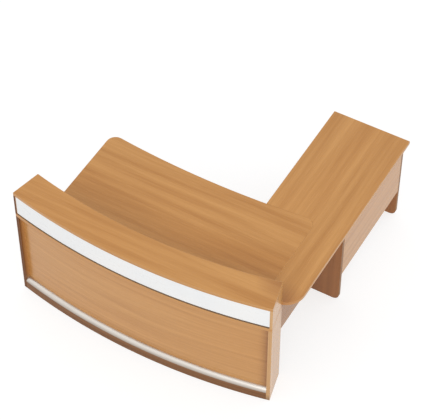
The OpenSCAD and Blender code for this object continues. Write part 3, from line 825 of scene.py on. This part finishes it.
FOOT_EDGE = 0.080
FOOT_FRONT_D = FRONT_BACK_D + BATTEN
FOOT_REAR_D = BOX_DEPTH - FOOT_EDGE / 2
FEET = {}
for side, word in SIDES.items():
    for end, depth in (("front", FOOT_FRONT_D), ("rear", FOOT_REAR_D)):
        FEET[f"{word}_end_{end}_foot"] = on_bow(side * HALF_ANGLE, -side * BOARD / 2, depth)
FEET["gable_front_foot"] = (GABLE_X + BOARD / 2, GABLE_FRONT_Y + FOOT_EDGE)
FEET["gable_rear_foot"] = (GABLE_X + BOARD / 2, GABLE_REAR_Y - FOOT_EDGE)
for word, leg_y in (("near", NEAR_LEG_Y), ("far", FAR_LEG_Y)):
    FEET[word + "_leg_left_foot"] = (LEG_L + FOOT_EDGE, leg_y + BOARD / 2)
    FEET[word + "_leg_right_foot"] = (LEG_R - FOOT_EDGE, leg_y + BOARD / 2)

# Rim of a pad, as steps in from its edge and up from its underside
PAD_RIM = ((0.0014, 0), (0.0005, 0.0003), (0, 0.0012), (0, 0.0030), (0.0004, 0.0038), (0.0022, 0.0046))
COLLAR_FOOT_W = 0.0022
COLLAR_FOOT_Z = 0.0049
COLLAR_W = 0.0020
THREAD_PITCH = 0.00125
THREAD_DEPTH = 0.0008
THREAD_START = 0.0008
THREAD_CREST = (0.45, 0.55)
STUD_TIP_H = 0.0010
STUD_TIP_IN = 0.0014
FOOT_SIDES = 32
HOLE_SIDES = 48
HOLE_REACH = 0.001


def foot_hole(name):
    """Room for one foot in a board's lower edge: recess of the pad, seat of the insert, bore of the stud."""
    recess_r = PAD_D / 2 + FOOT_CLEAR
    seat_top = RECESS_H + INSERT_H
    profile = [(0, -HOLE_REACH), (recess_r, -HOLE_REACH), (recess_r, RECESS_H), (INSERT_D / 2, RECESS_H),
               (INSERT_D / 2, seat_top), (BORE_D / 2, seat_top), (BORE_D / 2, BORE_TOP), (0, BORE_TOP)]
    hole = lathe(profile, HOLE_SIDES)
    hole.transform(TO_FRAME @ move(*FEET[name]))
    return hole


def foot_holes(prefix):
    return [foot_hole(name) for name in FEET if name.startswith(prefix)]


def levelling_foot(name):
    """Foot that is wound right in: a rounded pad with a collar and a threaded stud."""
    stud_r = STUD_D / 2
    root_r = stud_r - THREAD_DEPTH
    top = FOOT_CLEAR + PAD_H
    tip = top + STUD_L
    profile = [(0, FOOT_CLEAR)] + [(PAD_D / 2 - inwards, FOOT_CLEAR + up) for inwards, up in PAD_RIM]
    profile += [(stud_r + COLLAR_FOOT_W, FOOT_CLEAR + COLLAR_FOOT_Z), (stud_r + COLLAR_W, top), (root_r, top)]
    for i in range(int(STUD_L / THREAD_PITCH) - 1):
        height = top + THREAD_START + i * THREAD_PITCH
        profile.append((root_r, height))
        profile += [(stud_r, height + share * THREAD_PITCH) for share in THREAD_CREST]
    profile += [(root_r, tip - STUD_TIP_H), (stud_r - STUD_TIP_IN, tip), (0, tip)]
    foot = lathe(profile, FOOT_SIDES)
    foot.transform(move(*FEET[name]))
    put(name, foot, [ZINC], body=name)


# Boards of the front box

def end_panel(side):
    left = -BOARD if side > 0 else 0.0
    right = left + BOARD
    matrix = at_angle(side * HALF_ANGLE)
    outline = rectangle(left, right, BAND, BOX_DEPTH - BAND)
    outline.insert(4 if side > 0 else 2, (left if side > 0 else right, FRONT_SET_BACK))
    core = prism(outline, 0, UNDER_H, BOARD_EASE)
    mark(core, EDGE, lambda normal, middle: normal.z < -FACING and middle.z < BAND_EASE)
    # The inner face's strip beside the front edge takes painted shade
    mark(core, SHADED_STRIP, lambda normal, middle: side * normal.x < -FACING and middle.y < FRONT_SET_BACK)
    node = SIDES[side] + "_end"
    put(node + "_panel", core, [LIT_END_WOOD, RUBBED_WOOD, RAW_BOARD, INNER_WOOD], matrix, board_grain(2),
        holes=foot_holes(node))
    bands = []
    for ends, edge_y, inner_y in (((left, right), 0, BAND), ((right, left), BOX_DEPTH, BOX_DEPTH - BAND)):
        bands.append(strip([(x, edge_y) for x in ends], [(x, inner_y) for x in ends], 0, UNDER_H))
    # The right end's band takes the paler copy and the left end's the darker one: painted light and shade
    finish = [LIT_BAND, RUBBED_BAND] if side > 0 else [SHADED_BAND, RUBBED_DARK]
    put(node + "_band", join(*bands), finish, matrix, board_grain(2))


def bowed_board(node, near, far, planes, low, high, materials, ease=BOARD_EASE):
    put(node, prism(bow_outline(near, far, *planes), low, high, ease), materials, grain=bow_grain)


def kick_moulding():
    """Hollow quarter-round moulding that stands on the base rail in front of the front panel."""
    outer = circle(0, 0, FRONT_SET_BACK, pi, QUARTER)
    inner = circle(0, 0, FRONT_SET_BACK - MOULDING_T, QUARTER, pi)
    section = [(FRONT_SET_BACK + back, BASE_H + up) for back, up in outer + inner]
    last = end_planes(BOARD)[1]
    rows = []
    for share in steps(-1, 1, BOW_STEPS):
        rows.append([(*on_bow(share * plane_angle(last, depth), 0, depth), z) for depth, z in section])
    along = [bow_place(*row[0][:2])[0] for row in rows]
    across = [i * FRONT_SET_BACK * QUARTER / ROUND_STEPS for i in range(len(section) + 1)]
    bm = loft(rows, along, across)[0]
    ease_sharp(bm, BOARD_EASE)
    put("kick_moulding", bm, [ALUMINIUM, ALUMINIUM])


def corner_batten(side):
    left = -BOARD - BATTEN if side > 0 else BOARD
    outline = rectangle(left, left + BATTEN, FRONT_BACK_D + BATTEN_GAP, FRONT_BACK_D + BATTEN)
    batten = prism(outline, BASE_H, UNDER_H, BATTEN_EASE)
    put(SIDES[side] + "_batten", batten, [BEECH, BEECH], at_angle(side * HALF_ANGLE), board_grain(2))


def upright_board(node, angle, thick, front, back, low, high):
    core = prism(rectangle(-thick / 2, thick / 2, front, back), low, high, PANEL_EASE)
    put(node, core, [SIDE_WOOD, RUBBED_WOOD], at_angle(angle), board_grain(2))


def front_box():
    for side, word in SIDES.items():
        end_panel(side)
        corner_batten(side)
        upright_board(word + "_upright", side * UPRIGHT_ANGLE, UPRIGHT_T, FRONT_BACK_D, BOX_DEPTH, 0, UNDER_H)
    ends = end_planes(BOARD)
    bowed_board("base_rail", 0, FRONT_BACK_D, ends, 0, BASE_H, [DARK_WOOD, RUBBED_DARK], PANEL_EASE)
    bowed_board("front_panel", FRONT_SET_BACK, FRONT_BACK_D, ends, BASE_H, UNDER_H, [FRONT_WOOD, RUBBED_WOOD])
    kick_moulding()


# Ledge

def ledge_side(side):
    left = -LEDGE_SIDE_T if side > 0 else 0.0
    outline = rectangle(left, left + LEDGE_SIDE_T, 0, BOX_DEPTH)
    core = prism(outline, WORKTOP_H, LEDGE_UNDER_H, PANEL_EASE)
    mark(core, EDGE, lambda normal, middle: normal.y < -FACING)
    # The right side's front edge takes the paler band and the left side's the darker one: painted light and
    # shade
    finish = [LIT_END_WOOD, RUBBED_WOOD, LIT_BAND if side > 0 else SHADED_BAND]
    put("ledge_" + SIDES[side] + "_side", core, finish, at_angle(side * HALF_ANGLE), board_grain(2))


def fascia_backing():
    """Dark boards behind the fascia, in three lengths that meet on the dividers."""
    first, last = end_planes(LEDGE_SIDE_T)
    shifts = (-JOINT_GAP / 2, JOINT_GAP / 2)
    left, right = [[(side * UPRIGHT_ANGLE, shift) for shift in shifts] for side in SIDES]
    lengths = {"left": (first, left[0]), "middle": (left[1], right[0]), "right": (right[1], last)}
    for word, planes in lengths.items():
        bowed_board("fascia_backing_" + word, BACKING_D, BACKING_BACK_D, planes, WORKTOP_H, LEDGE_UNDER_H,
                    [DARK_WOOD, RUBBED_DARK])


def ledge():
    for side, word in SIDES.items():
        ledge_side(side)
        upright_board("ledge_" + word + "_divider", side * UPRIGHT_ANGLE, LEDGE_SIDE_T, BACKING_BACK_D,
                      BOX_DEPTH - DIVIDER_SET_BACK, WORKTOP_H, LEDGE_UNDER_H)
    bowed_board("fascia", FASCIA_SET_BACK, BACKING_D, end_planes(LEDGE_SIDE_T), FASCIA_Z, LEDGE_UNDER_H,
                [WHITE, WHITE], PANEL_EASE)
    fascia_backing()
    top("ledge_top", ledge_outline, LEDGE_UNDER_H, 0, TOP_WOOD)


# Tops, legs and panels

def top(node, outline, low, along, wood, flush=None):
    """Flat top with an edge band all round it."""
    core = prism(outline(BAND), low, low + BOARD, BOARD_EASE)
    put(node, core, [wood, RUBBED_WOOD], grain=board_grain(along))
    band = strip(outline(0), outline(BAND), low, low + BOARD, True, flush)
    put(node + "_band", band, [BAND_WOOD, RUBBED_BAND])


def leg(node, left, right, matrix):
    """Upright board with rounded lower corners and a band on each side edge."""
    core = prism(leg_outline(left, right), 0, BOARD, BOARD_EASE)
    mark(core, EDGE, lambda normal, middle: normal.y < -FACING and middle.y < BAND_EASE)
    put(node, core, [SHADED_LEG_WOOD, RUBBED_WOOD, RAW_BOARD], matrix, board_grain(1),
        holes=foot_holes(node.replace("left_", "")))
    edges = [[leg_edge(left, right, side, inset) for inset in (0, BAND)] for side in SIDES]
    bands = [strip(outer, inner, 0, BOARD) for outer, inner in edges]
    put(node + "_band", join(*bands), [SHADED_LEG_BAND, RUBBED_LEG], matrix)


def hung_panel(word, outline, bottom, wood):
    """Panel that hangs under the return, with a band on its lower edge."""
    core = prism(outline, bottom + BAND, UNDER_H, BOARD_EASE)
    put(word + "_panel", core, [wood, RUBBED_WOOD], grain=board_grain(1))
    band = prism(outline, bottom, bottom + BAND, PANEL_EASE)
    put(word + "_band", band, [BAND_WOOD, RUBBED_BAND], grain=board_grain(1))


def apron_outline():
    """Outline from the right end panel's slanted rear edge to the near leg."""
    right = APRON_X + MODESTY_T
    slope = tan(HALF_ANGLE)
    left_y, right_y = [BOX_CORNER_Y + (x - BOX_CORNER_X) * slope for x in (APRON_X, right)]
    return [(APRON_X, left_y), (right, right_y), (right, NEAR_LEG_Y), (APRON_X, NEAR_LEG_Y)]


def desk():
    top("worktop", worktop_outline, UNDER_H, 0, WORKTOP_WOOD, at_joint)
    top("return_top", return_outline, UNDER_H, 1, TOP_WOOD, at_joint)
    leg("left_gable", GABLE_FRONT_Y, GABLE_REAR_Y, facing_right(GABLE_X))
    leg("near_leg", LEG_L, LEG_R, facing_front(NEAR_LEG_Y + BOARD))
    leg("far_leg", LEG_L, LEG_R, facing_front(FAR_LEG_Y + BOARD))
    modesty = rectangle(MODESTY_X, LEG_R, NEAR_LEG_Y + BOARD, FAR_LEG_Y)
    hung_panel("modesty", modesty, MODESTY_BOTTOM, SIDE_WOOD)
    hung_panel("apron", apron_outline(), APRON_BOTTOM, SHADED_APRON_WOOD)


# Places of the fittings

SHARES = (0.3, 0.7)
BRACKET_GAP = 0.010
BRACKET_EDGE = 0.080
BRACKET_HOLES = (0.45, 0.8)
TIE_COUNT = 3
TIE_HOLE_X = 0.35 * TIE_L
TIE_HOLE_Y = 0.25 * TIE_W
TIE_FROM = BOX_CORNER_Y + TIE_W
TIE_STEP = (CORNER_Y - TIE_W - TIE_FROM) / TIE_COUNT
BATTEN_SHARES = (0.1, 0.5, 0.9)
FASCIA_SCREWS = 8
DRIVEN_FORWARD = Matrix.Rotation(QUARTER, 4, "X")


def bracket_places():
    """Brackets under the tops, each turned so that +Y points away from the board it is fixed to."""
    spots = []
    for depth in (FRONT_BACK_D + BATTEN + BRACKET_W + BRACKET_GAP, BOX_DEPTH - BRACKET_W - BRACKET_GAP):
        for side in SIDES:
            spots.append((side * HALF_ANGLE, -side * BOARD, depth, side))
            spots.append((side * UPRIGHT_ANGLE, -side * UPRIGHT_T / 2, depth, side))
    for y in (GABLE_FRONT_Y + BRACKET_EDGE, GABLE_REAR_Y - BRACKET_EDGE):
        spots.append((0, GABLE_X + BOARD, y, -1))
    for x in (LEG_L + BRACKET_EDGE, MODESTY_X - BRACKET_EDGE):
        spots.append((0, x, NEAR_LEG_Y + BOARD, 0))
        spots.append((0, x, FAR_LEG_Y, 2))
    for share in SHARES:
        spots.append((0, MODESTY_X, NEAR_LEG_Y + BOARD + share * LEG_SPAN, 1))
    for i in range(1, TIE_COUNT):
        spots.append((0, APRON_X, TIE_FROM + i * TIE_STEP, 1))
    return [at_angle(angle) @ move(x, y, UNDER_H) @ Matrix.Rotation(turns * QUARTER, 4, "Z")
            for angle, x, y, turns in spots]


def tie_places():
    x = HALF_W + JOINT_GAP / 2
    return [move(x, TIE_FROM + (i + 0.5) * TIE_STEP, UNDER_H) for i in range(TIE_COUNT)]


def batten_screw_places():
    places = []
    for side in SIDES:
        end = at_angle(side * HALF_ANGLE)
        sideways = Matrix.Rotation(side * QUARTER, 4, "Y")
        for share in BATTEN_SHARES:
            z = BASE_H + share * (UNDER_H - BASE_H)
            middle = move(-side * (BOARD + BATTEN / 2), FRONT_BACK_D + BATTEN, z)
            inner = move(-side * (BOARD + BATTEN), FRONT_BACK_D + BATTEN / 2, z + BATTEN)
            places.append(end @ middle @ DRIVEN_FORWARD)
            places.append(end @ inner @ sideways)
    return places


def fascia_screw_places():
    """Screws through the backing into the fascia, their heads half sunk."""
    places = []
    step = 2 * HALF_ANGLE / FASCIA_SCREWS
    for i in range(FASCIA_SCREWS):
        for share in SHARES:
            z = FASCIA_Z + share * (LEDGE_UNDER_H - FASCIA_Z)
            seat = move(0, BACKING_BACK_D - SCREW_HEAD_H / 2, z)
            places.append(at_angle((i + 0.5) * step - HALF_ANGLE) @ seat @ DRIVEN_FORWARD)
    return places


# Shapes of the fittings

BEND_R = 0.005
PLATE_CORNER_R = 0.005
PLATE_EASE = 0.0003
PLATE_CORNER_STEPS = 6
SCREW_SIDES = 24
SCREW_POINT_L = 0.004
SCREW_POINT_BLUNT = 0.0004
SCREW_POINT_SHARE = 0.3
RECESS_REACH = 0.0022
RECESS_HALF_W = 0.0005
RECESS_DEPTH = 0.0013
RECESS_POINT = 1.1 * RECESS_DEPTH
SAME_LENGTH = 1e-6

# Shares of a screw head's radius and height along its dome, and of its recess's size at its floor
HEAD_DOME = ((1.0, 0.0), (1.0, 0.3), (0.96, 0.55), (0.86, 0.8), (0.64, 0.96))
RECESS_FLOOR = (0.6, 0.7)


def put_copies(node, bm, places, material, holes=None):
    """Makes a group of equal fittings, one at each place, drilled where their screws go."""
    finish = [material] * 3
    model = as_object("model", bm, finish)
    if holes:
        cut(model, holes)
    group = bmesh.new()
    for place in places:
        start = len(group.verts)
        group.from_mesh(model.data)
        group.verts.ensure_lookup_table()
        bmesh.ops.transform(group, matrix=place, verts=group.verts[start:])
    put(node, group, finish)
    drop(model)


def screw_hole(matrix):
    """Hole of a screw through a plate, from one side of it to the other."""
    hole = lathe([(0, -TIE_T), (SCREW_D / 2, -TIE_T), (SCREW_D / 2, 2 * TIE_T), (0, 2 * TIE_T)], SCREW_SIDES)
    hole.transform(matrix)
    return hole


def cross(reach, half_w, height):
    """Level outline of a cross with as many points as a screw has sides."""
    corners = []
    for quarter in range(4):
        turn = Matrix.Rotation(quarter * QUARTER, 2)
        corners += [turn @ Vector(corner) for corner in ((reach, -half_w), (reach, half_w), (half_w, half_w))]
    points = []
    for first, second in zip(corners, corners[1:] + corners[:1]):
        points += [first, (first + second) / 2]
    return [(point.x, point.y, height) for point in points]


def screw(length):
    """Pan-head screw driven along +Z, its seat at z = 0: a cross recess, a domed head and a tapered point."""
    start = -2 * pi / SCREW_SIDES
    shank_r = SCREW_D / 2
    profile = [(0, length), (SCREW_POINT_SHARE * shank_r, length - SCREW_POINT_BLUNT)]
    profile += [(shank_r, length - SCREW_POINT_L), (shank_r, 0)]
    profile += [(wide * SCREW_HEAD_D / 2, -tall * SCREW_HEAD_H) for wide, tall in HEAD_DOME]
    rings = [ring(radius, height, SCREW_SIDES, start) for radius, height in profile]
    reach, half_w = RECESS_FLOOR
    rings.append(cross(RECESS_REACH, RECESS_HALF_W, -SCREW_HEAD_H))
    rings.append(cross(reach * RECESS_REACH, half_w * RECESS_HALF_W, RECESS_DEPTH - SCREW_HEAD_H))
    rings.append([(0, 0, RECESS_POINT - SCREW_HEAD_H)])
    return skin(rings)


def bracket_screw_spots():
    """The four screws of one bracket: two up into the top, two into the board."""
    spots = []
    for share in BRACKET_HOLES:
        spots.append(move(0, share * BRACKET_LEG, -BRACKET_T))
        spots.append(move(0, BRACKET_T, -share * BRACKET_LEG) @ DRIVEN_FORWARD)
    return spots


def tie_screw_spots():
    """The four screws of one tie plate, two into each top."""
    return [move(side * TIE_HOLE_X, end * TIE_HOLE_Y, -TIE_T) for side in SIDES for end in SIDES]


def angle_bracket():
    """Steel angle with a rounded bend and rounded tips."""
    leg = BRACKET_LEG
    outer = circle(BEND_R, -BEND_R, BEND_R, pi, QUARTER)
    inner = circle(BEND_R, -BEND_R, BEND_R - BRACKET_T, QUARTER, pi)
    section = [(0, -leg)] + outer + [(leg, 0), (leg, -BRACKET_T)] + inner + [(BRACKET_T, -leg)]
    bm = prism(section[::-1], -BRACKET_W / 2, BRACKET_W / 2, 0)
    bm.transform(facing_right(0))
    tips = [edge for edge in bm.edges if abs(edge.calc_length() - BRACKET_T) < SAME_LENGTH]
    bmesh.ops.bevel(bm, geom=tips, offset=PLATE_CORNER_R, segments=PLATE_CORNER_STEPS, profile=0.5,
                    affect="EDGES")
    ease_sharp(bm, PLATE_EASE)
    return bm


def tie_plate():
    """Flat steel plate with rounded corners."""
    outline = []
    for quarter, (x, y) in enumerate(((1, 1), (-1, 1), (-1, -1), (1, -1))):
        centre = (x * (TIE_L / 2 - PLATE_CORNER_R), y * (TIE_W / 2 - PLATE_CORNER_R))
        start = quarter * QUARTER
        outline += circle(*centre, PLATE_CORNER_R, start, start + QUARTER)
    return prism(outline, -TIE_T, 0, PLATE_EASE)


def put_plates(plates, screws, bm, places, spots):
    """Makes a group of steel plates, and the screws that hold each of them at its spots."""
    put_copies(plates, bm, places, STEEL, [screw_hole(spot) for spot in spots])
    put_copies(screws, screw(SCREW_L), [place @ spot for place in places for spot in spots], ZINC)


def fittings():
    put_plates("angle_brackets", "bracket_screws", angle_bracket(), bracket_places(), bracket_screw_spots())
    put_plates("tie_plates", "tie_plate_screws", tie_plate(), tie_places(), tie_screw_spots())
    put_copies("fascia_screws", screw(BACKING_T + FASCIA_T / 2), fascia_screw_places(), ZINC)
    put_copies("batten_screws", screw(BATTEN + BATTEN_SCREW_BITE), batten_screw_places(), ZINC)


def carried_over():
    """Hidden fittings whose CAD shape is right take a better material."""
    finishes = {"dowels": DOWEL_WOOD, "foot_inserts": ZINC}
    for node, material in finishes.items():
        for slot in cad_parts[node].material_slots:
            slot.material = material


front_box()
ledge()
desk()
fittings()
for foot_name in FEET:
    levelling_foot(foot_name)
carried_over()


# Floor, light and camera

SKY_LIGHT = 0.86
FLOOR_PLAIN = 0.8
FLOOR_SHARE = 0.35
FLOOR_GLOW = 0.74
FLOOR_HALF_W = 40
FLOOR_STEPS = 8
FLOOR_DROP = 0.0004
KEY_PLACE = Vector((2.6, -5.4, 4.6))
KEY_AIM = Vector((0, 0, 0.5))
KEY_SIZE = 3.0
KEY_POWER = 60


def grey(level):
    return (level, level, level, 1.0)


def seen_directly(shader):
    """1 for rays from the camera, and for those that metal or glass sends on."""
    seen = 0.0
    for ray in ("Is Camera Ray", "Is Glossy Ray", "Is Transmission Ray"):
        seen = shader.math("MAXIMUM", seen, shader.node("LightPath", output=ray))
    return seen


def floor():
    """White floor that keeps a faint shadow, and that is open to views from below."""
    shader = Shader("pale_floor")
    plain = shader.node("BsdfDiffuse", {"Color": grey(FLOOR_PLAIN)})
    shadow = shader.node("BsdfDiffuse", {"Color": grey(FLOOR_SHARE)})
    glow = shader.node("Emission", {"Color": grey(1.0), "Strength": FLOOR_GLOW})
    shown = shader.node("AddShader", {0: shadow, 1: glow})
    lit = shader.node("MixShader", {0: seen_directly(shader), 1: plain, 2: shown})
    below = shader.node("NewGeometry", output="Backfacing")
    both = shader.node("MixShader", {0: below, 1: lit, 2: shader.node("BsdfTransparent")})
    shader.node("OutputMaterial", {"Surface": both})
    bm = bmesh.new()
    bmesh.ops.create_grid(bm, x_segments=FLOOR_STEPS, y_segments=FLOOR_STEPS, size=FLOOR_HALF_W)
    bm.transform(move(0, 0, -FLOOR_DROP))
    made = as_object("floor", bm, [shader.owner])


def sky():
    """Even white light, seen as pure white."""
    world = bpy.data.worlds.new("studio")
    bpy.context.scene.world = world
    shader = Shader("studio", world)
    light = shader.node("Background", {"Color": grey(1.0), "Strength": SKY_LIGHT})
    shown = shader.node("Background", {"Color": grey(1.0), "Strength": 1.0})
    both = shader.node("MixShader", {0: seen_directly(shader), 1: light, 2: shown})
    shader.node("OutputWorld", {"Surface": both})


def key_light():
    """Soft box in front of the counter, to the right."""
    light = bpy.data.lights.new("key", "AREA")
    light.size = KEY_SIZE
    light.energy = KEY_POWER
    lamp = new_object("key", light)
    lamp.location = KEY_PLACE
    lamp.rotation_euler = (KEY_AIM - KEY_PLACE).to_track_quat("-Z", "Y").to_euler()


# Camera fitted to the edges in the photograph
IMAGE_W = 430
FOCAL_PX = 1789.5
SENSOR_W = 36.0
FARTHEST = 100
CAMERA_PLACE = Vector((3.8835, -6.7333, 9.4622))
CAMERA_AZIMUTH = radians(29.84)
CAMERA_ELEVATION = radians(49.16)


def camera():
    lens = bpy.data.cameras.new("camera")
    lens.sensor_fit = "HORIZONTAL"
    lens.sensor_width = SENSOR_W
    lens.lens = FOCAL_PX * SENSOR_W / IMAGE_W
    lens.clip_end = FARTHEST
    made = new_object("camera", lens)
    turn = Euler((QUARTER - CAMERA_ELEVATION, 0, CAMERA_AZIMUTH))
    made.matrix_world = move(*CAMERA_PLACE) @ turn.to_matrix().to_4x4()
    bpy.context.scene.camera = made


floor()
sky()
key_light()
camera()
bpy.context.scene.view_settings.view_transform = "Standard"
